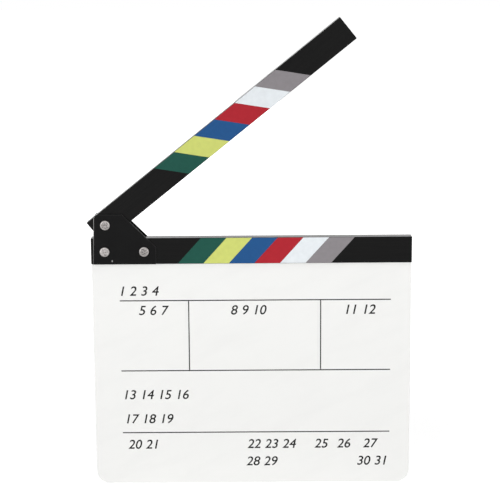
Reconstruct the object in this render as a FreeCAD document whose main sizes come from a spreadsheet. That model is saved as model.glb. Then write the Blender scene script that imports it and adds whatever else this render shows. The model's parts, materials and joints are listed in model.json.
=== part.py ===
import FreeCAD, Part
import os

import Sketcher

# A film clapperboard: a white writing board whose top edge sits in a groove of the lower stick,
# and a clapper arm that turns on a post between two hinge plates.
#
# Frame, in millimetres: X runs to the right as seen from the front, +Z is up and the front faces -Y.
# The origin is the middle of the board's bottom edge, halfway through its thickness.
# The arm is built along +X with its pivot at its own origin, and stands open at open_angle.

SIZES = (
    # Writing board
    ("board_width", "300", "width of the writing board"),
    ("board_face_height", "217.4", "bottom edge of the board to the underside of the lower stick"),
    ("board_thickness", "3", "thickness of the board"),
    ("board_corner_radius", "12", "bottom corners of the board, seen from the front"),
    ("board_edge_radius", "0.4", "polished edges of the board"),
    # Lower stick
    ("stick_height", "24.8", "height of the lower stick"),
    ("stick_thickness", "10", "thickness of the lower stick, front to back"),
    ("stick_overhang", "0.1", "how far each end of the lower stick stands past the board's side"),
    ("groove_depth", "7", "groove in the underside that takes the board"),
    ("groove_clearance", "0.1", "room on each side of the board in the groove"),
    # Clapper arm
    ("arm_length", "302.1", "length of the clapper arm"),
    ("arm_height", "24.8", "height of the clapper arm, across its length"),
    ("closing_gap", "0.3", "gap between the sticks when they are closed"),
    ("root_relief", "0.05", "how much nearer the root end is to the pivot than the long edges are"),
    ("open_angle", "38.8", "angle of the arm above the lower stick, in degrees"),
    # Edges of both sticks
    ("stick_corner_radius", "0.7", "square ends of the sticks, seen from the front"),
    ("stick_edge_radius", "0.25", "sanded edges of the sticks"),
    # Hinge plates
    ("plate_width", "59.15", "width of a hinge plate, along its bottom edge"),
    ("plate_thickness", "1.5", "thickness of a hinge plate"),
    ("plate_inset", "1.84", "left end of the lower stick to the lower left corner of a plate"),
    ("plate_lean", "1.55", "how far the left edge of a plate leans in by its top"),
    ("plate_drop", "2.4", "upper edge of the closed arm to the top edge of a plate"),
    ("plate_cut", "31.2", "side of the triangle cut off the upper right corner of a plate"),
    ("plate_corner_radius", "4.2", "upper left corner of a plate"),
    ("plate_point_radius", "0.8", "other corners of a plate"),
    ("plate_edge_chamfer", "0.5", "bevel round the outer face of a plate"),
    ("pivot_margin", "12.06", "lower left corner of a plate to the pivot, across"),
    ("left_post_margin", "11.1", "lower left corner of a plate to the left post, across"),
    ("right_post_margin", "11.25", "right edge of a plate to the right post"),
    ("post_drop", "0.3", "mid height of the lower stick down to the left and right posts"),
    # Binding posts and their screws
    ("head_diameter", "9.2", "head of a post or of its screw"),
    ("head_height", "1.4", "height of those heads"),
    ("head_rim_radius", "1", "rounded rim of those heads"),
    ("barrel_diameter", "5", "barrel of a post"),
    ("barrel_wall", "1", "wall of a barrel round its bore"),
    ("barrel_shortfall", "0.3", "end of a barrel to the outer face of the rear plate"),
    ("bore_depth", "9", "depth of the bore in a barrel"),
    ("shank_shortfall", "1", "end of a screw's shank to the bottom of the bore"),
    ("slot_width", "1.2", "screwdriver slot"),
    ("slot_depth", "0.7", "depth of that slot"),
    ("fit_clearance", "0.05", "room round a barrel, a shank or a wood screw, all the way round"),
    # Friction washers
    ("washer_diameter", "16", "outside of a friction washer"),
    ("washer_thickness", "0.5", "thickness of a friction washer"),
    ("washer_clearance", "0.05", "running gap between a washer and the arm"),
    # Wood screws that hold the board in the groove
    ("wood_screw_diameter", "2.8", "shank of a wood screw"),
    ("wood_screw_point", "0.4", "blunt end of a wood screw, across"),
    ("wood_screw_head", "5.2", "countersunk head of a wood screw"),
    ("wood_screw_sink", "0.1", "head of a wood screw below the rear face of the stick"),
    ("countersink_angle", "90", "full angle of the cone under a wood screw's head, in degrees"),
    ("wood_screw_cover", "2", "wood left between a screw's end and the front face of the stick"),
    ("first_screw_inset", "76", "left end of the lower stick to the first wood screw"),
    ("last_screw_inset", "16", "last wood screw to the right end of the lower stick"),
    ("cross_width", "0.9", "arms of the cross recess"),
    ("cross_length", "3", "reach of the cross recess from side to side"),
    ("cross_depth", "0.8", "depth of the cross recess"),
    # Coloured stripes
    ("foil_thickness", "0.15", "thickness of a stripe"),
    ("foil_gap", "0.1", "hairline between two stripes"),
    ("stripe_start", "92", "left end of the lower stick to its first stripe, at mid height"),
    ("arm_stripe_start", "93.1", "root end of the arm to its first stripe, at mid height"),
    ("stripe_tip_margin", "64.5", "last stripe to the tip of a stick, at mid height"),
    ("stripe_lean", "42", "lean of the stripes from square across, in degrees"),
    # Cuts
    ("cut_overrun", "1", "how far a cut runs past the face that it opens"),
)

STRIPE_COLOURS = ("green", "yellow", "blue", "red", "white", "grey")
WOOD_SCREW_COUNT = 4
SAME_PLACE = 1e-6

# Sizes that follow from the cells, as expressions
ARM_THICKNESS = "(Sizes.stick_thickness - 2 * (Sizes.washer_thickness + Sizes.washer_clearance))"
ROOT_REACH = "(Sizes.arm_height / 2 - Sizes.root_relief)"
STICK_LENGTH = "(Sizes.board_width + 2 * Sizes.stick_overhang)"
STICK_LEFT = f"(-{STICK_LENGTH} / 2)"
STICK_MIDDLE = "(Sizes.board_face_height + Sizes.stick_height / 2)"
PLATE_LEFT = f"({STICK_LEFT} + Sizes.plate_inset)"
PLATE_HEIGHT = "(Sizes.stick_height + Sizes.closing_gap + Sizes.arm_height - Sizes.plate_drop)"
PLATE_FACE = "(Sizes.stick_thickness / 2 + Sizes.plate_thickness)"
PIVOT_RISE = "(Sizes.stick_height + Sizes.closing_gap + Sizes.arm_height / 2)"
PIVOT_X = f"({PLATE_LEFT} + Sizes.pivot_margin)"
PIVOT_Z = f"(Sizes.board_face_height + {PIVOT_RISE})"
LEFT_POST_X = f"({PLATE_LEFT} + Sizes.left_post_margin)"
RIGHT_POST_X = f"({PLATE_LEFT} + Sizes.plate_width - Sizes.right_post_margin)"
LOW_POST_Z = f"({STICK_MIDDLE} - Sizes.post_drop)"
BARREL_END = f"({PLATE_FACE} - Sizes.barrel_shortfall)"
BORE_END = f"({BARREL_END} - Sizes.bore_depth)"
BORE_RADIUS = "(Sizes.barrel_diameter / 2 - Sizes.barrel_wall)"
BARREL_HOLE = "(Sizes.barrel_diameter + 2 * Sizes.fit_clearance)"
WOOD_SCREW_DROP = "(Sizes.stick_height / 2 - Sizes.groove_depth / 2)"
WOOD_SCREW_HOLE = "(Sizes.wood_screw_diameter + 2 * Sizes.fit_clearance)"

# Place of each post: name, across, up
POST_PLACES = (
    ("pivot", PIVOT_X, PIVOT_Z),
    ("left_plate", LEFT_POST_X, LOW_POST_Z),
    ("right_plate", RIGHT_POST_X, LOW_POST_Z),
)


def make_sheet(doc):
    """Write every driving dimension into a sheet cell that has the dimension's name."""
    sheet = doc.addObject("Spreadsheet::Sheet", "Sizes")
    for row, (alias, number, meaning) in enumerate(SIZES, start=1):
        sheet.set(f"A{row}", alias)
        sheet.set(f"B{row}", number)
        sheet.set(f"C{row}", meaning)
        sheet.setAlias(f"B{row}", alias)
    doc.recompute()
    return sheet


def make_body(doc, label, x="0", y="0", z="0"):
    """Start a sub-part whose own origin stands at x, y, z."""
    body = doc.addObject("PartDesign::Body", label)
    body.Label = label
    for axis, expression in (("x", x), ("y", y), ("z", z)):
        body.setExpression(f"Placement.Base.{axis}", expression)
    return body


def value(body, expression):
    """Give the number that an expression has now."""
    return float(body.evalExpression(expression))


def sketch_on(body, role, name, offset="0"):
    """Attach an empty sketch to one of the body's own planes, moved along the plane's normal."""
    sketch = body.newObject("Sketcher::SketchObject", f"{body.Name}_{name}")
    plane = next(item for item in body.Origin.OriginFeatures if item.Role == role)
    sketch.AttachmentSupport = (plane, "")
    sketch.MapMode = "FlatFace"
    sketch.setExpression("AttachmentOffset.Base.z", offset)
    return sketch


def bind(sketch, constraint, expression):
    """Add a constraint and tie its value to an expression."""
    index = sketch.addConstraint(constraint)
    sketch.setExpression(f"Constraints[{index}]", expression)


def draw_outline(body, sketch, corners):
    """Draw a closed outline of straight sides, with every corner tied to its two expressions."""
    first = sketch.GeometryCount
    places = []
    for across, up in corners:
        places.append(FreeCAD.Vector(value(body, across), value(body, up), 0))
    count = len(corners)
    for index in range(count):
        side = Part.LineSegment(places[index], places[(index + 1) % count])
        sketch.addGeometry(side, False)
    for index in range(count):
        following = first + (index + 1) % count
        sketch.addConstraint(Sketcher.Constraint("Coincident", first + index, 2, following, 1))
    for index, (across, up) in enumerate(corners):
        corner = first + index
        place = places[index]
        bind(sketch, Sketcher.Constraint("DistanceX", -1, 1, corner, 1, place.x), across)
        bind(sketch, Sketcher.Constraint("DistanceY", -1, 1, corner, 1, place.y), up)


def draw_rectangle(body, sketch, left, right, bottom, top):
    """Draw a rectangle between four expressions."""
    corners = ((left, bottom), (right, bottom), (right, top), (left, top))
    draw_outline(body, sketch, corners)


def draw_circle(body, sketch, across, up, diameter):
    """Draw a circle with its centre and diameter tied to expressions."""
    centre = FreeCAD.Vector(value(body, across), value(body, up), 0)
    size = value(body, diameter)
    circle = sketch.addGeometry(Part.Circle(centre, FreeCAD.Vector(0, 0, 1), size / 2), False)
    bind(sketch, Sketcher.Constraint("DistanceX", -1, 1, circle, 3, centre.x), across)
    bind(sketch, Sketcher.Constraint("DistanceY", -1, 1, circle, 3, centre.y), up)
    bind(sketch, Sketcher.Constraint("Diameter", circle, size), diameter)


def add_pad(body, sketch, length, side="One side", reverse=False):
    """Raise a sketch into a solid."""
    pad = body.newObject("PartDesign::Pad", f"{body.Name}_Pad")
    pad.Profile = sketch
    pad.SideType = side
    pad.Reversed = reverse
    pad.setExpression("Length", length)
    return finish_feature(body, pad)


def add_pocket(body, sketch, length, side="One side", reverse=False):
    """Cut a sketch out of the solid, and see that it took material away."""
    before = body.Shape.Volume
    pocket = body.newObject("PartDesign::Pocket", f"{body.Name}_Pocket")
    pocket.Profile = sketch
    pocket.SideType = side
    pocket.Reversed = reverse
    pocket.setExpression("Length", length)
    finish_feature(body, pocket)
    if pocket.Shape.Volume >= before:
        raise RuntimeError(f"{pocket.Name} cut nothing")
    return pocket


def add_turning(body, sketch):
    """Turn a half profile about the body's Y axis."""
    turning = body.newObject("PartDesign::Revolution", f"{body.Name}_Turning")
    turning.Profile = sketch
    turning.ReferenceAxis = (sketch, ["V_Axis"])
    return finish_feature(body, turning)


def add_edge_feature(body, kind, size_name, size, chosen):
    """Fillet or chamfer the edges of the solid that pass the test."""
    base = body.Tip
    names = []
    for number, edge in enumerate(base.Shape.Edges, start=1):
        if chosen(edge):
            names.append(f"Edge{number}")
    if not names:
        raise RuntimeError(f"{body.Name} has no edge to ease")
    feature = body.newObject(f"PartDesign::{kind}", f"{body.Name}_{kind}")
    feature.Base = (base, names)
    feature.setExpression(size_name, size)
    return finish_feature(body, feature)


def add_fillet(body, radius, chosen):
    """Round the chosen edges."""
    return add_edge_feature(body, "Fillet", "Radius", radius, chosen)


def add_chamfer(body, size, chosen):
    """Bevel the chosen edges."""
    return add_edge_feature(body, "Chamfer", "Size", size, chosen)


def finish_feature(body, feature):
    """Work the feature out and make it the end of its body."""
    body.Tip = feature
    body.Document.recompute()
    return feature


def at_corner(body, *corners):
    """Make a test for edges that run front to back at any of these corners."""
    places = [(value(body, across), value(body, up)) for across, up in corners]

    def chosen(edge):
        box = edge.BoundBox
        if box.XLength > SAME_PLACE or box.ZLength > SAME_PLACE:
            return False
        return any(abs(box.XMin - x) < SAME_PLACE and abs(box.ZMin - z) < SAME_PLACE for x, z in places)

    return chosen


def in_plane(body, *depths):
    """Make a test for edges that lie wholly in a plane at any of these depths."""
    places = [value(body, depth) for depth in depths]

    def chosen(edge):
        box = edge.BoundBox
        if box.YLength > SAME_PLACE:
            return False
        return any(abs(box.YMin - y) < SAME_PLACE for y in places)

    return chosen


def build_slate_board(doc):
    """White board, rounded at its bottom corners, drilled near its top edge for the wood screws."""
    body = make_body(doc, "slate_board")
    half = "Sizes.board_width / 2"
    top = "Sizes.board_face_height + Sizes.groove_depth"
    sketch = sketch_on(body, "XZ_Plane", "outline")
    draw_rectangle(body, sketch, f"-{half}", half, "0", top)
    add_pad(body, sketch, "Sizes.board_thickness", "Symmetric")
    add_fillet(body, "Sizes.board_corner_radius", at_corner(body, (f"-{half}", "0"), (half, "0")))
    faces = ("-Sizes.board_thickness / 2", "Sizes.board_thickness / 2")
    add_fillet(body, "Sizes.board_edge_radius", in_plane(body, *faces))
    holes = sketch_on(body, "XZ_Plane", "screw_holes")
    screw_height = f"{STICK_MIDDLE} - {WOOD_SCREW_DROP}"
    for across in wood_screw_places():
        draw_circle(body, holes, f"{STICK_LEFT} + {across}", screw_height, WOOD_SCREW_HOLE)
    add_pocket(body, holes, "Sizes.board_thickness + Sizes.cut_overrun", "Symmetric")
    return body


def wood_screw_places():
    """Give each wood screw's distance from the left end of the lower stick."""
    steps = WOOD_SCREW_COUNT - 1
    span = f"({STICK_LENGTH} - Sizes.first_screw_inset - Sizes.last_screw_inset)"
    return [f"(Sizes.first_screw_inset + {span} * {step} / {steps})" for step in range(WOOD_SCREW_COUNT)]


def build_lower_stick(doc):
    """Stick over the board: grooved underneath, drilled for two posts and for the wood screws.

    Its own origin is the middle of its left end.
    """
    body = make_body(doc, "lower_stick")
    half = "Sizes.stick_height / 2"
    tip = STICK_LENGTH
    corners = (("0", f"-{half}"), (tip, f"-{half}"), (tip, half), ("0", half))
    sketch = sketch_on(body, "XZ_Plane", "outline")
    draw_outline(body, sketch, corners)
    add_pad(body, sketch, "Sizes.stick_thickness", "Symmetric")
    add_fillet(body, "Sizes.stick_corner_radius", at_corner(body, *corners))
    add_fillet(body, "Sizes.stick_edge_radius", in_plane(body, stick_face(False), stick_face(True)))

    groove = sketch_on(body, "YZ_Plane", "groove")
    half_width = "(Sizes.board_thickness / 2 + Sizes.groove_clearance)"
    floor = f"-{half} - Sizes.cut_overrun"
    draw_rectangle(body, groove, f"-{half_width}", half_width, floor, f"-{half} + Sizes.groove_depth")
    add_pocket(body, groove, STICK_LENGTH, reverse=True)

    posts = sketch_on(body, "XZ_Plane", "post_holes")
    for across in (LEFT_POST_X, RIGHT_POST_X):
        draw_circle(body, posts, f"{across} - {STICK_LEFT}", "-Sizes.post_drop", BARREL_HOLE)
    add_pocket(body, posts, "Sizes.stick_thickness + Sizes.cut_overrun", "Symmetric")

    screws = sketch_on(body, "XZ_Plane", "screw_holes", "-Sizes.stick_thickness / 2")
    for across in wood_screw_places():
        draw_circle(body, screws, across, f"-{WOOD_SCREW_DROP}", WOOD_SCREW_HOLE)
    doc.recompute()
    hole = body.newObject("PartDesign::Hole", "lower_stick_countersinks")
    hole.Profile = screws
    hole.Reversed = True
    hole.DepthType = "Dimension"
    hole.DrillPoint = "Flat"
    hole.HoleCutType = "Countersink"
    hole.HoleCutCustomValues = True
    hole.setExpression("HoleCutCountersinkAngle", "Sizes.countersink_angle")
    hole.setExpression("Diameter", WOOD_SCREW_HOLE)
    hole.setExpression("Depth", "Sizes.stick_thickness - Sizes.wood_screw_cover")
    mouth = "Sizes.wood_screw_head + 2 * (Sizes.wood_screw_sink + Sizes.fit_clearance)"
    hole.setExpression("HoleCutDiameter", mouth)
    before = body.Shape.Volume
    finish_feature(body, hole)
    if hole.Shape.Volume >= before:
        raise RuntimeError(f"{hole.Name} cut nothing")
    stand_on_lower_stick(body)
    return body


def stand_on_lower_stick(body):
    """Put a body that is built along +X from the stick's left end in its place over the board."""
    body.setExpression("Placement.Base.x", STICK_LEFT)
    body.setExpression("Placement.Base.z", STICK_MIDDLE)


def stand_on_arm(body):
    """Put a body that is built along +X from the pivot onto the open arm."""
    turn = FreeCAD.Rotation(FreeCAD.Vector(0, -1, 0), value(body, "Sizes.open_angle"))
    body.Placement = FreeCAD.Placement(FreeCAD.Vector(), turn)
    body.setExpression("Placement.Base.x", PIVOT_X)
    body.setExpression("Placement.Base.z", PIVOT_Z)
    body.setExpression("Placement.Rotation.Angle", "Sizes.open_angle")


def build_upper_stick(doc):
    """Clapper arm, with its lower root corner rounded so that it turns clear of the lower stick.

    Its own origin is the pivot.
    """
    body = make_body(doc, "upper_stick")
    half = "Sizes.arm_height / 2"
    tip = f"(Sizes.arm_length - {ROOT_REACH})"
    root = f"-{ROOT_REACH}"
    square_corners = ((tip, f"-{half}"), (tip, half), (root, half))
    root_corner = (root, f"-{half}")
    sketch = sketch_on(body, "XZ_Plane", "outline")
    draw_outline(body, sketch, (root_corner, *square_corners))
    add_pad(body, sketch, ARM_THICKNESS, "Symmetric")
    add_fillet(body, ROOT_REACH, at_corner(body, root_corner))
    add_fillet(body, "Sizes.stick_corner_radius", at_corner(body, *square_corners))
    faces = (f"-{ARM_THICKNESS} / 2", f"{ARM_THICKNESS} / 2")
    add_fillet(body, "Sizes.stick_edge_radius", in_plane(body, *faces))
    hole = sketch_on(body, "XZ_Plane", "pivot_hole")
    draw_circle(body, hole, "0", "0", BARREL_HOLE)
    add_pocket(body, hole, f"{ARM_THICKNESS} + Sizes.cut_overrun", "Symmetric")
    stand_on_arm(body)
    return body


def stick_face(rear):
    """Give the depth of the lower stick's rear or front face."""
    return "Sizes.stick_thickness / 2" if rear else "-Sizes.stick_thickness / 2"


def build_hinge_plate(doc, label, rear):
    """Five-sided plate over the sticks' left ends, with holes for the three posts.

    Its own origin is its lower left corner, on the face that lies against the lower stick.
    """
    body = make_body(doc, label, x=PLATE_LEFT, y=stick_face(rear), z="Sizes.board_face_height")
    width = "Sizes.plate_width"
    points = (
        ("0", "0"),
        (width, "0"),
        (width, f"{PLATE_HEIGHT} - Sizes.plate_cut"),
        (f"{width} - Sizes.plate_cut", PLATE_HEIGHT),
    )
    round_corner = ("Sizes.plate_lean", PLATE_HEIGHT)
    sketch = sketch_on(body, "XZ_Plane", "outline")
    draw_outline(body, sketch, (*points, round_corner))
    add_pad(body, sketch, "Sizes.plate_thickness", reverse=rear)
    add_fillet(body, "Sizes.plate_corner_radius", at_corner(body, round_corner))
    add_fillet(body, "Sizes.plate_point_radius", at_corner(body, *points))
    outer_face = "Sizes.plate_thickness" if rear else "-Sizes.plate_thickness"
    add_chamfer(body, "Sizes.plate_edge_chamfer", in_plane(body, outer_face))
    holes = sketch_on(body, "XZ_Plane", "post_holes")
    for _, across, up in POST_PLACES:
        rise = f"{up} - Sizes.board_face_height"
        draw_circle(body, holes, f"{across} - {PLATE_LEFT}", rise, BARREL_HOLE)
    add_pocket(body, holes, "2 * (Sizes.plate_thickness + Sizes.cut_overrun)", "Symmetric")
    return body


def build_post(doc, name, across, up):
    """Binding post: a smooth head on the front plate and a bored barrel through to the rear plate.

    Its own origin is on its axis, at mid thickness of the sticks.
    """
    body = make_body(doc, f"{name}_post", x=across, z=up)
    head = f"-({PLATE_FACE} + Sizes.head_height)"
    seat = f"-{PLATE_FACE}"
    barrel = "Sizes.barrel_diameter / 2"
    profile = (
        ("0", head),
        ("Sizes.head_diameter / 2", head),
        ("Sizes.head_diameter / 2", seat),
        (barrel, seat),
        (barrel, BARREL_END),
        (BORE_RADIUS, BARREL_END),
        (BORE_RADIUS, BORE_END),
        ("0", BORE_END),
    )
    sketch = sketch_on(body, "XY_Plane", "profile")
    draw_outline(body, sketch, profile)
    add_turning(body, sketch)
    add_fillet(body, "Sizes.head_rim_radius", in_plane(body, head))
    return body


def build_post_screw(doc, name, across, up):
    """Slotted screw that closes a binding post from the back."""
    body = make_body(doc, f"{name}_screw", x=across, z=up)
    head = f"({PLATE_FACE} + Sizes.head_height)"
    shank = f"({BORE_RADIUS} - Sizes.fit_clearance)"
    shank_end = f"({BORE_END} + Sizes.shank_shortfall)"
    profile = (
        ("0", head),
        ("Sizes.head_diameter / 2", head),
        ("Sizes.head_diameter / 2", PLATE_FACE),
        (shank, PLATE_FACE),
        (shank, shank_end),
        ("0", shank_end),
    )
    sketch = sketch_on(body, "XY_Plane", "profile")
    draw_outline(body, sketch, profile)
    add_turning(body, sketch)
    add_fillet(body, "Sizes.head_rim_radius", in_plane(body, head))
    slot = sketch_on(body, "XZ_Plane", "slot", f"-{head}")
    reach = "(Sizes.head_diameter / 2 + Sizes.cut_overrun)"
    half_slot = "Sizes.slot_width / 2"
    draw_rectangle(body, slot, f"-{reach}", reach, f"-{half_slot}", half_slot)
    add_pocket(body, slot, "Sizes.slot_depth", reverse=True)
    return body


def build_washer(doc, label, rear):
    """Thin ring that rubs on the arm, flat against a hinge plate."""
    body = make_body(doc, label, x=PIVOT_X, y=stick_face(rear), z=PIVOT_Z)
    sketch = sketch_on(body, "XZ_Plane", "ring")
    draw_circle(body, sketch, "0", "0", "Sizes.washer_diameter")
    draw_circle(body, sketch, "0", "0", BARREL_HOLE)
    add_pad(body, sketch, "Sizes.washer_thickness", reverse=not rear)
    return body


def build_wood_screw(doc, number, across):
    """Countersunk screw with a cross recess, through the back of the stick and the board."""
    place = {"x": f"{STICK_LEFT} + {across}", "z": f"{STICK_MIDDLE} - {WOOD_SCREW_DROP}"}
    body = make_body(doc, f"board_screw_{number}", **place)
    head = "(Sizes.stick_thickness / 2 - Sizes.wood_screw_sink)"
    head_radius = "Sizes.wood_screw_head / 2"
    shank = "Sizes.wood_screw_diameter / 2"
    point = "Sizes.wood_screw_point / 2"
    tip = "(Sizes.wood_screw_cover - Sizes.stick_thickness / 2)"
    cone = f"({head_radius} - {shank}) / tan(Sizes.countersink_angle / 2)"
    profile = (
        ("0", head),
        (head_radius, head),
        (shank, f"{head} - {cone}"),
        (shank, f"{tip} + {shank} - {point}"),
        (point, tip),
        ("0", tip),
    )
    sketch = sketch_on(body, "XY_Plane", "profile")
    draw_outline(body, sketch, profile)
    add_turning(body, sketch)
    half_length = "Sizes.cross_length / 2"
    half_width = "Sizes.cross_width / 2"
    recess_arms = (("level", half_length, half_width), ("upright", half_width, half_length))
    for name, across_half, up_half in recess_arms:
        recess = sketch_on(body, "XZ_Plane", f"{name}_recess", f"-{head}")
        draw_rectangle(body, recess, f"-{across_half}", across_half, f"-{up_half}", up_half)
        add_pocket(body, recess, "Sizes.cross_depth", reverse=True)
    return body


def build_stripe(doc, label, order, length, height, root, start, face, lean):
    """One slanting stripe on the front of a stick, in its stick's own frame.

    root is where the stick's root end lies in that frame, start is from there to the first stripe,
    face is how far the stick's front lies from the middle, and lean is the tangent of the slant.
    """
    body = make_body(doc, label)
    pitch = f"(({length} - {start} - Sizes.stripe_tip_margin) / {len(STRIPE_COLOURS)})"
    left = f"{root} + {start} + {pitch} * {order}"
    right = f"{left} + {pitch} - Sizes.foil_gap"
    rise = f"({height} / 2 - Sizes.stick_edge_radius)"
    run = f"{rise} * {lean}"
    corners = (
        (f"{left} - {run}", f"-{rise}"),
        (f"{right} - {run}", f"-{rise}"),
        (f"{right} + {run}", rise),
        (f"{left} + {run}", rise),
    )
    sketch = sketch_on(body, "XZ_Plane", "outline", face)
    draw_outline(body, sketch, corners)
    add_pad(body, sketch, "Sizes.foil_thickness")
    return body


def build_lower_stripe(doc, order, colour):
    """Stripe of the lower stick, leaning towards the tip."""
    size = (STICK_LENGTH, "Sizes.stick_height")
    place = ("0", "Sizes.stripe_start", "Sizes.stick_thickness / 2")
    lean = "tan(Sizes.stripe_lean)"
    body = build_stripe(doc, f"lower_stripe_{colour}", order, *size, *place, lean)
    stand_on_lower_stick(body)
    return body


def build_upper_stripe(doc, order, colour):
    """Stripe of the arm, leaning the other way, so that the closed sticks show chevrons."""
    size = ("Sizes.arm_length", "Sizes.arm_height")
    place = (f"-{ROOT_REACH}", "Sizes.arm_stripe_start", f"{ARM_THICKNESS} / 2")
    lean = "tan(-Sizes.stripe_lean)"
    body = build_stripe(doc, f"upper_stripe_{colour}", order, *size, *place, lean)
    stand_on_arm(body)
    return body


def build_clapperboard():
    """Build every sub-part in one document and give the list of their bodies."""
    doc = FreeCAD.newDocument("clapperboard")
    make_sheet(doc)
    bodies = [build_slate_board(doc), build_lower_stick(doc), build_upper_stick(doc)]
    bodies.append(build_hinge_plate(doc, "front_hinge_plate", rear=False))
    bodies.append(build_hinge_plate(doc, "rear_hinge_plate", rear=True))
    for name, across, up in POST_PLACES:
        bodies.append(build_post(doc, name, across, up))
        bodies.append(build_post_screw(doc, name, across, up))
    bodies.append(build_washer(doc, "front_friction_washer", rear=False))
    bodies.append(build_washer(doc, "rear_friction_washer", rear=True))
    for number, across in enumerate(wood_screw_places(), start=1):
        bodies.append(build_wood_screw(doc, number, across))
    for order, colour in enumerate(STRIPE_COLOURS):
        bodies.append(build_lower_stripe(doc, order, colour))
        bodies.append(build_upper_stripe(doc, order, colour))
    doc.recompute()
    return doc, bodies


def check(doc, bodies):
    """Stop if any object failed or any sub-part is not one sound solid."""
    for item in doc.Objects:
        if "Invalid" in item.State or "Error" in item.State:
            raise RuntimeError(f"{item.Name} failed: {item.State}")
    for body in bodies:
        if body.Shape.isNull() or not body.Shape.isValid():
            raise RuntimeError(f"{body.Label} has no sound shape")
        if len(body.Shape.Solids) != 1:
            raise RuntimeError(f"{body.Label} is {len(body.Shape.Solids)} solids")


def export(bodies):
    """Write each sub-part to a file of its own."""
    os.makedirs("parts", exist_ok=True)
    for body in bodies:
        body.Shape.exportStep(f"parts/{body.Label}.step")
        print(f"{body.Label}: {body.Shape.Volume:.2f} mm3")


document, sub_parts = build_clapperboard()
check(document, sub_parts)
export(sub_parts)
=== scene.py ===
import json
import logging
import math
from abc import ABC, abstractmethod
from collections.abc import Callable
from dataclasses import dataclass
from enum import Enum

import bpy
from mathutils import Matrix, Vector


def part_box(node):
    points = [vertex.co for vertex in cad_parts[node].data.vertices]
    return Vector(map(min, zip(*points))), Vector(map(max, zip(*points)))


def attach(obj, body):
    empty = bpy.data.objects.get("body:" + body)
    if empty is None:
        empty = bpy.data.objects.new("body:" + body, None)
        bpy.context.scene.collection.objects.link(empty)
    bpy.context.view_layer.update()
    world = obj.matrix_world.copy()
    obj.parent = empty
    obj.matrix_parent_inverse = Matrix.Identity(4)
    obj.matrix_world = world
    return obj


# Dresses the frame's clapperboard: prints rules and plain numbers on its board, gives every piece its
# finish, and sets it in a pale studio under the photograph's camera. Lengths are in metres.

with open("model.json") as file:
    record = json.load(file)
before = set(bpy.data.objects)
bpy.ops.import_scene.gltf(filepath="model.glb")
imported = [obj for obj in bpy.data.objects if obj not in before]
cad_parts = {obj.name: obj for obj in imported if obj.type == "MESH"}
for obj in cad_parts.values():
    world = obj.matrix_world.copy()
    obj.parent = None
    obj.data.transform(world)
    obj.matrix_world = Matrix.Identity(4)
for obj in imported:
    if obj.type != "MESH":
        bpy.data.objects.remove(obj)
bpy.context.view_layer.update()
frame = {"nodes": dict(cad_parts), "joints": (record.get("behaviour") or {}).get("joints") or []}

Colour = tuple[float, float, float]
Triple = tuple[float, float, float]
Pair = tuple[float, float]
Socket = bpy.types.NodeSocket
Source = Socket | float | tuple | Vector

MM = 0.001
# Depths that differ by less than this are the same.
CLOSE = 1e-6
# A face of a text whose normal points less than this to its front or back is a side face.
SIDE = 0.5
WHITE: Colour = (1.0, 1.0, 1.0)
OPAQUE = 1.0
ORIGIN: Triple = (0.0, 0.0, 0.0)
# What of a place lies across the board's front and not in its depth.
ACROSS: Triple = (1.0, 0.0, 1.0)
RISING: Pair = (0.0, 1.0)
FALLING: Pair = (1.0, 0.0)
# The ranges that soft noise and a sine fill.
NOISE: Pair = (0.3, 0.7)
WAVE: Pair = (-1.0, 1.0)

log = logging.getLogger("clapperboard")


class Body(Enum):
    """Bodies that a piece can ride on."""

    SLATE = "slate"
    CLAPPER = "clapper"


class Slot(Enum):
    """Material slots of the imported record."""

    INK = "black_ink"


class Stripe(Enum):
    """Colours of the stripes, from the hinge to the tips, as linear red, green and blue."""

    GREEN = (0.014, 0.084, 0.062)
    YELLOW = (0.610, 0.660, 0.174)
    BLUE = (0.018, 0.088, 0.250)
    RED = (0.415, 0.020, 0.031)
    WHITE = (0.780, 0.820, 0.850)
    GREY = (0.255, 0.238, 0.250)


class Rule(Enum):
    """Ways that a printed rule can run on the board."""

    LEVEL = "level"
    UPRIGHT = "upright"


class Axis(Enum):
    """Axes of the frame: to the right, to the back and up."""

    X = "X"
    Y = "Y"
    Z = "Z"


class Sum(Enum):
    """Sums that a node can work out, with their built-in names."""

    ADD = "ADD"
    SUBTRACT = "SUBTRACT"
    MULTIPLY = "MULTIPLY"
    LARGER = "MAXIMUM"
    EXCEEDS = "GREATER_THAN"
    SINE = "SINE"


@dataclass(frozen=True)
class Patches:
    """Soft random patches: their size along each axis, and how many finer layers lie over them."""

    size: Triple
    layers: float


def even(size: float) -> Triple:
    """Give the same size along all three axes."""
    return (size, size, size)


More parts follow.
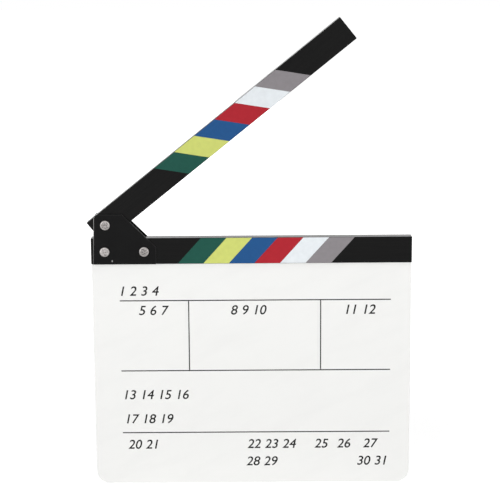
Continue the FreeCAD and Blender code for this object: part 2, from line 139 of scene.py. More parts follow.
class Graph:
    """Nodes round one shader, with short ways to add and join them."""

    def __init__(self, tree: bpy.types.NodeTree, shader: str) -> None:
        """Take a tree that has its shader already.

        Args:
            tree: the tree of a new material, or of the surround.
            shader: the shader's name in it.
        """
        self.nodes = tree.nodes
        self.links = tree.links
        self.shader = self.nodes[shader]

    def feed(self, socket: Socket, source: Source) -> None:
        """Join an output to a socket, or set the socket to a constant.

        Args:
            socket: the input to feed.
            source: an output socket, a number, a colour or a vector.
        """
        if isinstance(source, Socket):
            self.links.new(source, socket)
        elif socket.type == "RGBA":
            socket.default_value = (*source, OPAQUE)
        else:
            socket.default_value = source

    def add(self, kind: str, feeds: dict[str | int, Source], **settings: object) -> bpy.types.Node:
        """Add a node, set its properties and feed its inputs.

        Args:
            kind: the type of node, by its built-in name.
            feeds: what goes into each input, by the input's name or number.
            **settings: the node's own properties.

        Returns:
            The new node.
        """
        node = self.nodes.new(kind)
        for name, setting in settings.items():
            setattr(node, name, setting)
        for socket, source in feeds.items():
            self.feed(node.inputs[socket], source)
        return node

    def finish(self, **feeds: Source) -> None:
        """Feed the shader's sockets, whose names here have underscores for spaces."""
        for name, source in feeds.items():
            self.feed(self.shader.inputs[name.replace("_", " ")], source)

    def place(self, centre: Triple | Vector = ORIGIN, lean: float = 0.0) -> Socket:
        """Give the surface's place in a frame of its own.

        Args:
            centre: origin of that frame.
            lean: how far its X axis is raised towards Z, in radians.

        Returns:
            The place, in metres.
        """
        surface = self.add("ShaderNodeTexCoord", {}).outputs["Object"]
        feeds = {"Vector": surface, "Location": tuple(centre), "Rotation": (0.0, -lean, 0.0)}
        return self.add("ShaderNodeMapping", feeds, vector_type="TEXTURE").outputs["Vector"]

    def scaled(self, vector: Socket, scale: Triple) -> Socket:
        """Multiply each part of a vector by a number of its own."""
        node = self.add("ShaderNodeVectorMath", {0: vector, 1: scale}, operation="MULTIPLY")
        return node.outputs["Vector"]

    def in_sizes(self, place: Socket, sizes: Triple) -> Socket:
        """Measure a place along each axis in a size of its own."""
        return self.scaled(place, tuple(1 / size for size in sizes))

    def length(self, vector: Socket) -> Socket:
        """Give a vector's length."""
        return self.add("ShaderNodeVectorMath", {0: vector}, operation="LENGTH").outputs["Value"]

    def part(self, vector: Socket, axis: Axis) -> Socket:
        """Give a vector's part along an axis."""
        return self.add("ShaderNodeSeparateXYZ", {"Vector": vector}).outputs[axis.value]

    def noise(self, place: Socket, patches: Patches) -> Socket:
        """Make soft random patches, as a number about one half."""
        feeds = {"Vector": self.in_sizes(place, patches.size), "Scale": 1.0, "Detail": patches.layers}
        return self.add("ShaderNodeTexNoise", feeds).outputs["Fac"]

    def span(self, number: Source, reach: Pair, result: Pair = RISING) -> Socket:
        """Map a number from one range to another, and hold it at the ends.

        Args:
            number: what is mapped.
            reach: first and last end of the range that it comes from.
            result: first and last end of the range that it goes to.

        Returns:
            The mapped number.
        """
        start, end = reach
        low, high = result
        feeds = {"Value": number, "From Min": start, "From Max": end, "To Min": low, "To Max": high}
        return self.add("ShaderNodeMapRange", feeds).outputs["Result"]

    def sum(self, kind: Sum, first: Source, second: Source = 0.0) -> Socket:
        """Work out a sum of two numbers, or of the first alone."""
        return self.add("ShaderNodeMath", {0: first, 1: second}, operation=kind.value).outputs["Value"]

    def blend(self, share: Source, first: Source, second: Source) -> Socket:
        """Mix two colours.

        Args:
            share: how much of the second colour shows.
            first: first colour.
            second: second colour.

        Returns:
            The mixed colour.
        """
        node = self.add("ShaderNodeMix", {}, data_type="RGBA")
        sockets = {socket.identifier: socket for socket in (*node.inputs, *node.outputs)}
        self.feed(sockets["Factor_Float"], share)
        self.feed(sockets["A_Color"], first)
        self.feed(sockets["B_Color"], second)
        return sockets["Result_Color"]

    def bump(self, height: Source, depth: float, under: Source | None = None) -> Socket:
        """Turn a height into a normal.

        Args:
            height: the height, from zero to one.
            depth: what a height of one stands for, in metres.
            under: normal of the surface underneath, if it is not smooth.

        Returns:
            The normal.
        """
        feeds: dict[str | int, Source] = {"Height": height, "Distance": depth, "Strength": 1.0}
        if under is not None:
            feeds["Normal"] = under
        return self.add("ShaderNodeBump", feeds).outputs["Normal"]

    def facing(self, axis: Axis) -> Socket:
        """Give how far the surface faces along an axis: one, or minus one the other way."""
        return self.part(self.add("ShaderNodeNewGeometry", {}).outputs["True Normal"], axis)

    def along(self, axis: Axis) -> Socket:
        """Give how far the surface lies from the origin along an axis, in metres."""
        return self.part(self.place(), axis)

    def edgewise(self) -> Socket:
        """Give how far the surface turns from the front and the back: one on a rim."""
        depth = self.facing(Axis.Y)
        return self.sum(Sum.SUBTRACT, 1.0, self.sum(Sum.MULTIPLY, depth, depth))

    def eased_edge(self) -> Socket:
        """Find the rounded edges round a front or back face.

        Returns:
            One on the middle of such an edge and zero on flat faces.
        """
        turned = self.edgewise()
        facing = self.sum(Sum.SUBTRACT, 1.0, turned)
        # These two multiply to a quarter on the middle of the edge, so four times that is one.
        return self.sum(Sum.MULTIPLY, self.sum(Sum.MULTIPLY, facing, turned), 4.0)

    def sunk(self, face: float, shade: float) -> Socket:
        """Find the recesses in the heads of the screws at the back.

        Args:
            face: distance of the head's outer face from mid thickness, in metres.
            shade: how far below that face the recess begins; twice as far it is full.

        Returns:
            One at the bottom of a recess, zero on the face and zero at the front.
        """
        depth = self.along(Axis.Y)
        below = self.span(depth, (face - 2 * shade, face - shade), FALLING)
        return self.sum(Sum.MULTIPLY, below, self.sum(Sum.EXCEEDS, depth, 0.0))

    def looked_at(self) -> Socket:
        """Find the rays that show a background, and do not light with it.

        Returns:
            One for a ray from the camera, off a gloss or through glass, and zero for any other.
        """
        rays = self.add("ShaderNodeLightPath", {}).outputs
        shown = self.sum(Sum.LARGER, rays["Is Camera Ray"], rays["Is Glossy Ray"])
        return self.sum(Sum.LARGER, shown, rays["Is Transmission Ray"])


class Finish(ABC):
    """Look of one kind of surface."""

    name: str

    @abstractmethod
    def shade(self, graph: Graph) -> None:
        """Feed the shader of the finish's material."""

    def make(self) -> bpy.types.Material:
        """Make the finish's material.

        Returns:
            The material.
        """
        material = bpy.data.materials.new(self.name)
        material.use_nodes = True
        self.shade(Graph(material.node_tree, "Principled BSDF"))
        return material


@dataclass(frozen=True)
class WhiteAcrylic(Finish):
    """Smooth white sheet with a low gloss and faint ghosts of wiped marks."""

    name: str = "white_acrylic"
    clean: Colour = (0.864, 0.864, 0.849)
    wiped: Colour = (0.846, 0.846, 0.832)
    gloss: float = 0.3
    roughness: Pair = (0.3, 0.42)
    ghosts: Patches = Patches((70 * MM, 20 * MM, 16 * MM), 4.0)
    ghosts_show: Pair = (0.48, 0.72)
    wipe_lean: float = math.radians(24)
    haze: Patches = Patches(even(9 * MM), 5.0)
    ripple: Patches = Patches(even(6 * MM), 1.0)
    ripple_depth: float = 0.01 * MM

    def shade(self, graph: Graph) -> None:
        """Lay the ghosts, an uneven gloss and a faint ripple on the sheet.

        Args:
            graph: nodes of the material.
        """
        place = graph.place()
        ghosts = graph.noise(graph.place(lean=self.wipe_lean), self.ghosts)
        haze = graph.noise(place, self.haze)
        ripple = graph.noise(place, self.ripple)
        graph.finish(
            Base_Color=graph.blend(graph.span(ghosts, self.ghosts_show), self.clean, self.wiped),
            Roughness=graph.span(haze, NOISE, self.roughness),
            Normal=graph.bump(ripple, self.ripple_depth),
            Specular_IOR_Level=self.gloss,
        )


@dataclass(frozen=True)
class PaintedWood(Finish):
    """Satin black paint over fine-grained wood, rubbed thin along the edges.

    The grain runs along the X axis of a frame with its own centre and lean.
    """

    name: str
    centre: Vector
    lean: float = 0.0
    paint: Colour = (0.0022, 0.0022, 0.0023)
    thin_paint: Colour = (0.0038, 0.0037, 0.0036)
    worn: Colour = (0.060, 0.052, 0.044)
    gloss: float = 0.09
    roughness: Pair = (0.28, 0.36)
    grain: Patches = Patches((60 * MM, 1.2 * MM, 1.2 * MM), 4.0)
    grain_shows: Pair = (0.35, 0.65)
    grain_depth: float = 0.05 * MM
    pores: Patches = Patches((7 * MM, 0.35 * MM, 0.35 * MM), 2.0)
    pore_depth: float = 0.02 * MM
    rubs: Patches = Patches((9 * MM, 4 * MM, 4 * MM), 5.0)
    rubs_show: Pair = (0.56, 0.72)

    def shade(self, graph: Graph) -> None:
        """Paint the grain and its pores, and rub the edges.

        Args:
            graph: nodes of the material.
        """
        place = graph.place(self.centre, self.lean)
        grain = graph.noise(place, self.grain)
        pores = graph.noise(place, self.pores)
        rubbed = graph.span(graph.noise(place, self.rubs), self.rubs_show)
        bare = graph.sum(Sum.MULTIPLY, rubbed, graph.eased_edge())
        paint = graph.blend(graph.span(grain, self.grain_shows), self.paint, self.thin_paint)
        ridges = graph.bump(grain, self.grain_depth)
        graph.finish(
            Base_Color=graph.blend(bare, paint, self.worn),
            Roughness=graph.span(pores, NOISE, self.roughness),
            Normal=graph.bump(pores, self.pore_depth, ridges),
            Specular_IOR_Level=self.gloss,
        )


@dataclass(frozen=True)
class VinylStripe(Finish):
    """Printed vinyl with a satin skin and a slightly uneven colour.

    Its colour is divided by its depth, which is painted shade: above one, the copy is darker.
    """

    name: str
    colour: Colour
    # Painted shade: the colour is divided by this, which is above one on the arm.
    depth: float = 1.0
    light_share: float = 1.03
    dark_share: float = 0.97
    gloss: float = 0.08
    roughness: Pair = (0.46, 0.36)
    patches: Patches = Patches(even(5 * MM), 6.0)
    patches_show: Pair = (0.35, 0.65)
    skin: Patches = Patches(even(0.7 * MM), 2.0)
    skin_depth: float = 0.012 * MM

    def tint(self, share: float) -> Colour:
        """Give a share of the stripe's colour."""
        return tuple(part * share / self.depth for part in self.colour)

    def shade(self, graph: Graph) -> None:
        """Print the colour and lay the skin on it.

        Args:
            graph: nodes of the material.
        """
        place = graph.place()
        patches = graph.noise(place, self.patches)
        skin = graph.noise(place, self.skin)
        dark, light = self.tint(self.dark_share), self.tint(self.light_share)
        graph.finish(
            Base_Color=graph.blend(graph.span(patches, self.patches_show), dark, light),
            Roughness=graph.span(patches, NOISE, self.roughness),
            Normal=graph.bump(skin, self.skin_depth),
            Specular_IOR_Level=self.gloss,
        )


@dataclass(frozen=True)
class PowderCoat(Finish):
    """Black powder coat with a fine pebble and dust, painted light on its rim and along its left bevel,
    and a chip.

    The painted highlight on the left bevel grows from the plate's bottom to its top.
    """

    bottom: float
    top: float
    chip: Vector
    name: str = "black_powder_coat"
    coat: Colour = (0.0020, 0.0020, 0.0021)
    dust: Colour = (0.0036, 0.0036, 0.0037)
    # Lighter colour of every rim face: painted light.
    thin: Colour = (0.022, 0.022, 0.022)
    # Pale colour of the painted highlight on the left bevel, and of the bare metal in the chip.
    worn: Colour = (0.36, 0.355, 0.35)
    gloss: float = 0.083
    roughness: Pair = (0.4, 0.52)
    pebble: Patches = Patches(even(0.55 * MM), 2.0)
    pebble_depth: float = 0.03 * MM
    patches: Patches = Patches(even(12 * MM), 5.0)
    dust_shows: Pair = (0.4, 0.7)
    rim_light_shows: Pair = (0.1, 0.5)
    # Patches, strength, facing and rise of the painted highlight along the left bevel.
    rubs: Patches = Patches(even(3 * MM), 4.0)
    rubs_show: Pair = (0.3, 0.6)
    highlight_strength: Pair = (0.5, 1.0)
    left_bevel: Pair = (-0.6, -0.69)
    highlight_rise: Pair = (0.35, 1.3)
    chip_size: Triple = (0.5 * MM, 1.0 * MM, 0.9 * MM)
    chip_edge: Pair = (0.8, 1.2)

    def rubbed(self, graph: Graph, place: Socket) -> Socket:
        """Find where the left bevel gets its painted highlight.

        Args:
            graph: nodes of the material.
            place: where the surface is, in metres.

        Returns:
            How strong the painted highlight is.
        """
        # Painted highlight: patches on the eased left-facing bevel, stronger towards the top.
        patches = graph.span(graph.noise(place, self.rubs), self.rubs_show, self.highlight_strength)
        lit_side = graph.span(graph.facing(Axis.X), self.left_bevel)
        highlight_rise = graph.span(graph.along(Axis.Z), (self.bottom, self.top), self.highlight_rise)
        rubbed = graph.sum(Sum.MULTIPLY, patches, graph.sum(Sum.MULTIPLY, lit_side, highlight_rise))
        return graph.sum(Sum.MULTIPLY, rubbed, graph.eased_edge())

    def chipped(self, graph: Graph) -> Socket:
        """Find the chip: one inside it and zero outside."""
        away = graph.length(graph.in_sizes(graph.place(self.chip), self.chip_size))
        return graph.span(away, self.chip_edge, FALLING)

    def shade(self, graph: Graph) -> None:
        """Lay the coat with its dust and pebble, paint light on the rim and the left bevel, and bare the
        metal in the chip.

        Args:
            graph: nodes of the material.
        """
        place = graph.place()
        pebble = graph.noise(place, self.pebble)
        patches = graph.noise(place, self.patches)
        # The painted highlight on the left bevel and the chip share the pale colour.
        bare = graph.sum(Sum.LARGER, self.rubbed(graph, place), self.chipped(graph))
        dusty = graph.blend(graph.span(patches, self.dust_shows), self.coat, self.dust)
        # Painted light: faces turned edgewise to the front and back are lighter.
        coat = graph.blend(graph.span(graph.edgewise(), self.rim_light_shows), dusty, self.thin)
        graph.finish(
            Base_Color=graph.blend(bare, coat, self.worn),
            Roughness=graph.span(patches, NOISE, self.roughness),
            Normal=graph.bump(pebble, self.pebble_depth),
            Specular_IOR_Level=self.gloss,
        )


@dataclass(frozen=True)
class TurnedNickel(Finish):
    """Nickel-plated steel with the fine rings of turning, bright at its rim and dull inside it.

    The slot of the screw behind, whose outer face is given, is darkened by painted shade.
    """

    name: str
    centre: Vector
    face: float
    stain: float
    bright: Colour = (0.369, 0.350, 0.340)
    dull: Colour = (0.324, 0.306, 0.299)
    stained: Colour = (0.098, 0.093, 0.090)
    # Colour of the painted shade in the slot.
    painted_shade: Colour = (0.03, 0.03, 0.03)
    roughness: Pair = (0.34, 0.5)
    slot_shade: float = 0.3 * MM
    rim: Pair = (3.2 * MM, 3.9 * MM)
    ring_step: float = 0.5 * MM
    ring_wobble: Pair = (0.0, math.pi)
    ring_depth: float = 0.015 * MM
    smudges: Patches = Patches(even(1.3 * MM), 4.0)
    spot_start: float = 0.66
    spot_end: float = 0.86

    def rings(self, graph: Graph, radius: Socket, smudges: Socket) -> Socket:
        """Turn fine rings round the centre, a little out of true.

        Args:
            graph: nodes of the material.
            radius: distance from the centre, in metres.
            smudges: the soft patches that put the rings out of true.

        Returns:
            The rings' height, from zero to one.
        """
        turns = graph.sum(Sum.MULTIPLY, radius, math.tau / self.ring_step)
        uneven = graph.sum(Sum.ADD, turns, graph.span(smudges, NOISE, self.ring_wobble))
        return graph.span(graph.sum(Sum.SINE, uneven), WAVE)

    def shade(self, graph: Graph) -> None:
        """Plate and turn the metal, stain it inside its rim and paint shade into the slot.

        Args:
            graph: nodes of the material.
        """
        radius = graph.length(graph.scaled(graph.place(self.centre), ACROSS))
        smudges = graph.noise(graph.place(), self.smudges)
        spots = graph.span(smudges, (self.spot_start - self.stain, self.spot_end - self.stain))
        inside = graph.blend(spots, self.dull, self.stained)
        head = graph.blend(graph.span(radius, self.rim), inside, self.bright)
        graph.finish(
            # Painted shade: the slot darkens with depth below the head's face.
            Base_Color=graph.blend(graph.sunk(self.face, self.slot_shade), head, self.painted_shade),
            Metallic=1.0,
            Roughness=graph.span(smudges, NOISE, self.roughness),
            Normal=graph.bump(self.rings(graph, radius, smudges), self.ring_depth),
        )


@dataclass(frozen=True)
class ZincSteel(Finish):
    """Zinc-plated steel of the small countersunk screws, with painted shade in the recess."""

    face: float
    name: str = "zinc_steel"
    bright: Colour = (0.50, 0.50, 0.50)
    dull: Colour = (0.34, 0.345, 0.35)
    # Colour of the painted shade in the recess.
    painted_shade: Colour = (0.03, 0.03, 0.03)
    roughness: Pair = (0.28, 0.42)
    recess_shade: float = 0.3 * MM
    flakes: Patches = Patches(even(0.9 * MM), 3.0)
    flakes_show: Pair = (0.35, 0.65)
    flake_depth: float = 0.01 * MM

    def shade(self, graph: Graph) -> None:
        """Plate the metal in flakes and paint shade into the recess.

        Args:
            graph: nodes of the material.
        """
        flakes = graph.noise(graph.place(), self.flakes)
        plating = graph.blend(graph.span(flakes, self.flakes_show), self.bright, self.dull)
        graph.finish(
            # Painted shade: the recess darkens with depth below the head's face.
            Base_Color=graph.blend(graph.sunk(self.face, self.recess_shade), plating, self.painted_shade),
            Metallic=1.0,
            Roughness=graph.span(flakes, NOISE, self.roughness),
            Normal=graph.bump(flakes, self.flake_depth),
        )


@dataclass(frozen=True)
class PaleNylon(Finish):
    """Pale, slightly waxy nylon of the friction washers."""

    name: str = "pale_nylon"
    pale: Colour = (0.74, 0.73, 0.69)
    rubbed: Colour = (0.60, 0.585, 0.54)
    roughness: Pair = (0.4, 0.55)
    patches: Patches = Patches(even(2 * MM), 4.0)
    patches_show: Pair = (0.4, 0.7)
    patch_depth: float = 0.01 * MM

    def shade(self, graph: Graph) -> None:
        """Rub the nylon in patches.

        Args:
            graph: nodes of the material.
        """
        patches = graph.noise(graph.place(), self.patches)
        graph.finish(
            Base_Color=graph.blend(graph.span(patches, self.patches_show), self.pale, self.rubbed),
            Roughness=graph.span(patches, NOISE, self.roughness),
            Normal=graph.bump(patches, self.patch_depth),
        )


@dataclass(frozen=True)
class PrintedInk(Finish):
    """Matte black ink that lies a little thinner in places."""

    name: str = "printed_ink"
    full: Colour = (0.008, 0.008, 0.008)
    thin: Colour = (0.022, 0.022, 0.022)
    gloss: float = 0.15
    roughness: Pair = (0.5, 0.62)
    patches: Patches = Patches(even(1.5 * MM), 4.0)
    patches_show: Pair = (0.45, 0.7)
    tooth: Patches = Patches(even(0.2 * MM), 1.0)
    tooth_depth: float = 0.005 * MM

    def shade(self, graph: Graph) -> None:
        """Thin the ink in patches and give it a fine tooth.

        Args:
            graph: nodes of the material.
        """
        place = graph.place()
        patches = graph.noise(place, self.patches)
        tooth = graph.noise(place, self.tooth)
        graph.finish(
            Base_Color=graph.blend(graph.span(patches, self.patches_show), self.full, self.thin),
            Roughness=graph.span(patches, NOISE, self.roughness),
            Normal=graph.bump(tooth, self.tooth_depth),
            Specular_IOR_Level=self.gloss,
        )


@dataclass(frozen=True)
class PaleFloor(Finish):
    """Pale floor, white to look at, but less so near the object, so that its shadow shows."""

    name: str = "pale_floor"
    pale: Colour = (0.92, 0.92, 0.92)
    gloss: float = 0.0
    roughness: float = 0.9
    glow_reach: Pair = (0.25, 1.1)
    glow: Pair = (0.48, 0.75)

    def shade(self, graph: Graph) -> None:
        """Let the floor glow, more of it away from the object, for rays that look at it.

        Args:
            graph: nodes of the material.
        """
        glow = graph.span(graph.length(graph.place()), self.glow_reach, self.glow)
        graph.finish(
            Base_Color=self.pale,
            Roughness=self.roughness,
            Specular_IOR_Level=self.gloss,
            Emission_Color=WHITE,
            Emission_Strength=graph.sum(Sum.MULTIPLY, graph.looked_at(), glow),
        )


def stand_alone() -> None:
    """Leave edit mode and deselect everything."""
    if bpy.context.object and bpy.context.object.mode != "OBJECT":
        bpy.ops.object.mode_set(mode="OBJECT")
    bpy.ops.object.select_all(action="DESELECT")


def clear_selection(mesh: bpy.types.Mesh) -> None:
    """Deselect every vertex, edge and face of a mesh."""
    for group in (mesh.vertices, mesh.edges, mesh.polygons):
        group.foreach_set("select", [False] * len(group))


def select_edges(piece: bpy.types.Object, chosen: Callable[[Vector, Vector], bool]) -> None:
    """Open a mesh for editing with only some of its edges selected.

    Args:
        piece: the active object.
        chosen: tells from an edge's two ends whether it is selected.
    """
    bpy.context.tool_settings.mesh_select_mode = (False, True, False)
    mesh = piece.data
    clear_selection(mesh)
    for edge in mesh.edges:
        first, last = (mesh.vertices[index].co for index in edge.vertices)
        edge.select = chosen(first, last)
    bpy.ops.object.mode_set(mode="EDIT")


def select_faces(piece: bpy.types.Object, chosen: Callable[[Vector], bool]) -> None:
    """Open a mesh for editing with only some of its faces selected.

    Args:
        piece: the active object.
        chosen: tells from a face's normal whether it is selected.
    """
    bpy.context.tool_settings.mesh_select_mode = (False, False, True)
    mesh = piece.data
    clear_selection(mesh)
    for face in mesh.polygons:
        face.select = chosen(face.normal)
    bpy.ops.object.mode_set(mode="EDIT")


def keep_place(piece: bpy.types.Object, name: str) -> bpy.types.Object:
    """Move an object's place, turn and scale into its mesh.

    Args:
        piece: the active object, which alone is selected.
        name: name for the piece and its mesh.

    Returns:
        The same object.
    """
    bpy.ops.object.transform_apply(location=True, rotation=True, scale=True)
    piece.name = name
    piece.data.name = name
    return piece


def dress(names: list[str], finish: Finish) -> None:
    """Give CAD nodes a finish.

    Args:
        names: the nodes.
        finish: what goes into all their material slots.
    """
    material = finish.make()
    for name in names:
        for slot in frame["nodes"][name].material_slots:
            slot.material = material
        log.info("%s keeps its shape and wears %s", name, material.name)


def middle(name: str) -> Vector:
    """Give the middle of a CAD node's box."""
    low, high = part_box(name)
    return (low + high) / 2


@dataclass(frozen=True)
class PrintedRule:
    """One straight rule on the board, from start to end, at a fixed place across its length."""

    name: str
    run: Rule
    start: float
    end: float
    place: float


@dataclass(frozen=True)
class NumberRow:
    """Place of a row of plain numbers: its left end, its base line and how many numbers it holds."""

    left: float
    base: float
    count: int


@dataclass
class WritingBoard:
    """White board with the rules and the plain numbers printed on its front.

    Their places are measured from the board's lower left corner.
    """

    node: str = "slate_board"
    ink_depth: float = 0.05 * MM
    ink_sunk: float = 0.02 * MM
    rule_width: float = 1.05 * MM
    rule_end_share: float = 0.49
    rule_end_steps: int = 4
    rules_left: float = 25.4 * MM
    rules_right: float = 281.2 * MM
    upper_rule: float = 181.1 * MM
    middle_rule: float = 112.4 * MM
    lower_rule: float = 50.8 * MM
    left_divider: float = 90.4 * MM
    right_divider: float = 214.95 * MM
    number_height: float = 9.0 * MM
    number_weight: float = 0.13 * MM
    number_slant: float = 0.2
    number_gap: float = 1.1
    rows: tuple[NumberRow, ...] = (
        NumberRow(26.8 * MM, 185.9 * MM, 4),
        NumberRow(43.4 * MM, 167.0 * MM, 3),
        NumberRow(130.3 * MM, 167.0 * MM, 3),
        NumberRow(238.9 * MM, 167.0 * MM, 2),
        NumberRow(28.3 * MM, 84.1 * MM, 4),
        NumberRow(29.6 * MM, 60.0 * MM, 3),
        NumberRow(30.5 * MM, 34.4 * MM, 2),
        NumberRow(144.9 * MM, 34.4 * MM, 3),
        NumberRow(209.3 * MM, 34.4 * MM, 1),
        NumberRow(230.9 * MM, 34.4 * MM, 1),
        NumberRow(255.9 * MM, 34.4 * MM, 1),
        NumberRow(143.8 * MM, 16.9 * MM, 2),
        NumberRow(250.3 * MM, 16.9 * MM, 2),
    )

    @property
    def rules(self) -> list[PrintedRule]:
        """All the printed rules.

        Returns:
            The rules right across the board, and the dividers between the upper two of them.
        """
        ends = (self.rules_left, self.rules_right)
        half = self.rule_width / 2
        box = (self.middle_rule + half, self.upper_rule - half)
        return [
            PrintedRule("rule_upper", Rule.LEVEL, *ends, self.upper_rule),
            PrintedRule("rule_middle", Rule.LEVEL, *ends, self.middle_rule),
            PrintedRule("rule_lower", Rule.LEVEL, *ends, self.lower_rule),
            PrintedRule("divider_left", Rule.UPRIGHT, *box, self.left_divider),
            PrintedRule("divider_right", Rule.UPRIGHT, *box, self.right_divider),
        ]

    def in_ink(self, across: float, up: float) -> Vector:
        """Give the place, halfway through the ink, that lies so far across and up the board."""
        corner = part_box(self.node)[0]
        return corner + Vector((across, self.ink_sunk - self.ink_depth / 2, up))

    def build_rule(self, rule: PrintedRule) -> bpy.types.Object:
        """Model one rule as a thin film of ink with round ends.

        Args:
            rule: where the rule runs.

        Returns:
            The piece.
        """
        centre = ((rule.start + rule.end) / 2, rule.place)
        size = (rule.end - rule.start, self.rule_width)
        if rule.run is Rule.UPRIGHT:
            centre, size = centre[::-1], size[::-1]
        stand_alone()
        bpy.ops.mesh.primitive_cube_add(size=1.0)
        piece = bpy.context.object
        piece.location = self.in_ink(*centre)
        piece.scale = (size[0], self.ink_depth, size[1])
        keep_place(piece, rule.name)
        # Only the edges that run through the film are rounded.
        select_edges(piece, lambda first, last: abs(first.y - last.y) > CLOSE)
        end = self.rule_width * self.rule_end_share
        bpy.ops.mesh.bevel(offset=end, segments=self.rule_end_steps, affect="EDGES")
        stand_alone()
        return piece

    def set_text(self, text: str) -> bpy.types.Object:
        """Set slanting text of the numbers' height, and make it a mesh.

        Args:
            text: what is set.

        Returns:
            The active object, which lies on its back.
        """
        stand_alone()
        bpy.ops.object.text_add()
        piece = bpy.context.object
        letters = piece.data
        letters.body = text
        letters.shear = self.number_slant
        letters.space_word = self.number_gap
        bpy.context.view_layer.update()
        letters.size = letters.size * self.number_height / piece.dimensions.y
        letters.extrude = self.ink_depth / 2
        bpy.ops.object.convert(target="MESH")
        return bpy.context.object

    def thicken(self, piece: bpy.types.Object) -> None:
        """Close the mesh of a text that lies on its back, and move its sides out.

        Args:
            piece: the active object.
        """
        bpy.ops.object.mode_set(mode="EDIT")
        bpy.ops.mesh.select_all(action="SELECT")
        bpy.ops.mesh.remove_doubles(threshold=CLOSE)
        bpy.ops.mesh.normals_make_consistent(inside=False)
        bpy.ops.object.mode_set(mode="OBJECT")
        select_faces(piece, lambda normal: abs(normal.z) < SIDE)
        bpy.ops.transform.shrink_fatten(value=self.number_weight, use_even_offset=True)
        bpy.ops.object.mode_set(mode="OBJECT")

    def build_numbers(self, row: NumberRow, name: str, first: int) -> bpy.types.Object:
        """Set one row of slanting numbers as thin films of ink.

        Args:
            row: where the row stands.
            name: name of the piece.
            first: the row's first number.

        Returns:
            The piece.
        """
        piece = self.set_text(" ".join(str(first + step) for step in range(row.count)))
        self.thicken(piece)
        low = Vector(map(min, *(vertex.co for vertex in piece.data.vertices)))
        piece.location = self.in_ink(row.left - low.x, row.base - low.y)
        piece.rotation_euler = (math.pi / 2, 0, 0)
        return keep_place(piece, name)

    def build(self) -> None:
        """Print the rules and the numbers, which run on from row to row."""
        ink = PrintedInk().make()
        pieces = [self.build_rule(rule) for rule in self.rules]
        first = 1
        for order, row in enumerate(self.rows, start=1):
            pieces.append(self.build_numbers(row, f"numbers_{order:02d}", first))
            first += row.count
        for piece in pieces:
            piece.data.materials.append(ink)
            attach(piece, Body.SLATE.value)
            log.info("%s rides on %s", piece.name, Body.SLATE.value)

    def dress(self) -> None:
        """Finish the board itself."""
        dress([self.node], WhiteAcrylic())


@dataclass
class Sticks:
    """Lower stick and clapper arm with their stripes, which are darker on the arm by painted shade."""

    joint_name: str = "clapper_hinge"
    # Painted shade that darkens the arm's stripes.
    arm_painted_shade: float = 1.07

    def dress(self) -> None:
        """Paint both sticks along their own grain and colour the stripes."""
        joint = next(item for item in frame["joints"] if item["name"] == self.joint_name)
        lean = -math.radians(joint["range_deg"][0])
        dress(["lower_stick"], PaintedWood("black_wood_lower", middle("lower_stick")))
        dress(["upper_stick"], PaintedWood("black_wood_arm", Vector(joint["pos_m"]), lean))
        for stripe in Stripe:
            colour = stripe.name.lower()
            lower = VinylStripe(f"{colour}_vinyl_{Body.SLATE.value}", stripe.value)
            upper = VinylStripe(f"{colour}_vinyl_{Body.CLAPPER.value}", stripe.value, self.arm_painted_shade)
            dress([f"lower_stripe_{colour}"], lower)
            dress([f"upper_stripe_{colour}"], upper)


@dataclass(frozen=True)
class Post:
    """One binding post with its screw: the start of their names, and how stained they are."""

    name: str
    stain: float


@dataclass
class Hinge:
    """Plates, posts, screws and washers of the hinge, and the screws that hold the board.

    The chip is measured from the front plate's lower left corner.
    """

    posts: tuple[Post, ...] = (Post("pivot", 0.27), Post("left_plate", 0.19), Post("right_plate", 0.30))
    board_screws: int = 4
    chip_across: float = 18.0 * MM
    chip_rise: float = 3.3 * MM

    def dress_plates(self) -> None:
        """Coat both plates, and chip the front one."""
        low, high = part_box("front_hinge_plate")
        chip = low + Vector((self.chip_across, 0.0, self.chip_rise))
        dress(["front_hinge_plate", "rear_hinge_plate"], PowderCoat(low.z, high.z, chip))

    def dress_posts(self) -> None:
        """Plate the posts and their screws, each pair with its own stains."""
        for post in self.posts:
            barrel, screw = f"{post.name}_post", f"{post.name}_screw"
            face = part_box(screw)[1].y
            dress([barrel, screw], TurnedNickel(f"{post.name}_nickel", middle(barrel), face, post.stain))

    def dress(self) -> None:
        """Finish the metal and the washers."""
        self.dress_plates()
        self.dress_posts()
        dress(["front_friction_washer", "rear_friction_washer"], PaleNylon())
        screws = [f"board_screw_{number}" for number in range(1, self.board_screws + 1)]
        dress(screws, ZincSteel(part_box(screws[0])[1].y))


@dataclass(frozen=True)
class Lamp:
    """One soft lamp: where it hangs, how wide it is, and its power in watts."""

    name: str
    place: Triple
    width: float
    power: float


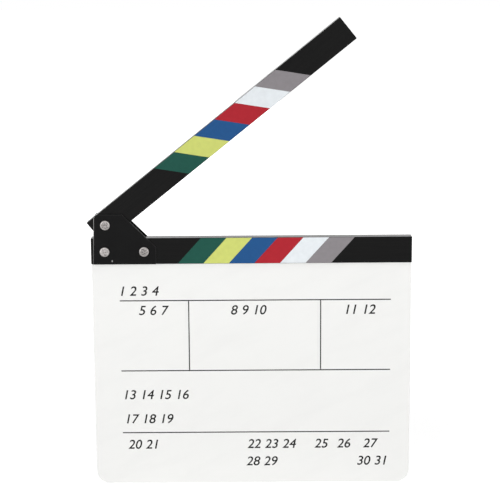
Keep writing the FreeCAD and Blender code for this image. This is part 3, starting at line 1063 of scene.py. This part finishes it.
@dataclass
class Studio:
    """Pale floor, white surround, soft lamps and the camera.

    The camera's turn is in degrees, and its lens and sensor are in millimetres.
    """

    floor_radius: float = 6.0
    floor_sides: int = 64
    surround_light: float = 0.36
    surround_white: float = 1.0
    aim: Triple = (0.0, 0.0, 0.22)
    lamps: tuple[Lamp, ...] = (
        Lamp("lamp_left", (-1.3, -2.2, 0.45), 1.5, 34.0),
        Lamp("lamp_right", (1.4, -2.1, 0.4), 1.6, 28.0),
        Lamp("lamp_back", (0.0, 2.6, 0.9), 3.0, 36.0),
    )
    camera_place: Triple = (3.249 * MM, -1568.340 * MM, 573.984 * MM)
    camera_turn: Triple = (77.599, 0.3917, 0.0815)
    camera_lens: float = 123.305
    camera_sensor: float = 36.0

    def build_floor(self) -> None:
        """Lay the floor."""
        stand_alone()
        bpy.ops.mesh.primitive_circle_add(
            vertices=self.floor_sides, radius=self.floor_radius, fill_type="NGON"
        )
        floor = bpy.context.object
        floor.name = "floor"
        floor.data.materials.append(PaleFloor().make())

    def build_surround(self) -> None:
        """Make the surround white to look at and a plain soft light."""
        world = bpy.data.worlds.new("surround")
        world.use_nodes = True
        graph = Graph(world.node_tree, "Background")
        light = graph.span(graph.looked_at(), RISING, (self.surround_light, self.surround_white))
        graph.finish(Color=WHITE, Strength=light)
        bpy.context.scene.world = world

    def build_lamps(self) -> None:
        """Hang the lamps and aim them at the object."""
        for lamp in self.lamps:
            stand_alone()
            bpy.ops.object.light_add(type="AREA", location=lamp.place)
            light = bpy.context.object
            light.name = lamp.name
            light.data.size = lamp.width
            light.data.energy = lamp.power
            towards = Vector(self.aim) - Vector(lamp.place)
            light.rotation_euler = towards.to_track_quat("-Z", "Y").to_euler()

    def build_camera(self) -> None:
        """Set the camera up at the photograph's viewing angle."""
        stand_alone()
        turn = tuple(math.radians(angle) for angle in self.camera_turn)
        bpy.ops.object.camera_add(location=self.camera_place, rotation=turn)
        camera = bpy.context.object
        camera.data.sensor_width = self.camera_sensor
        camera.data.lens = self.camera_lens
        bpy.context.scene.camera = camera

    def build(self) -> None:
        """Set up everything round the object."""
        self.build_floor()
        self.build_surround()
        self.build_lamps()
        self.build_camera()
        bpy.context.scene.view_settings.view_transform = "Standard"
        log.info("the studio is set up")


def main() -> None:
    """Build and dress the clapperboard, then set up the studio."""
    logging.basicConfig(level=logging.INFO, format="%(name)s: %(message)s")
    board = WritingBoard()
    board.build()
    board.dress()
    Sticks().dress()
    Hinge().dress()
    Studio().build()


if __name__ == "__main__":
    main()
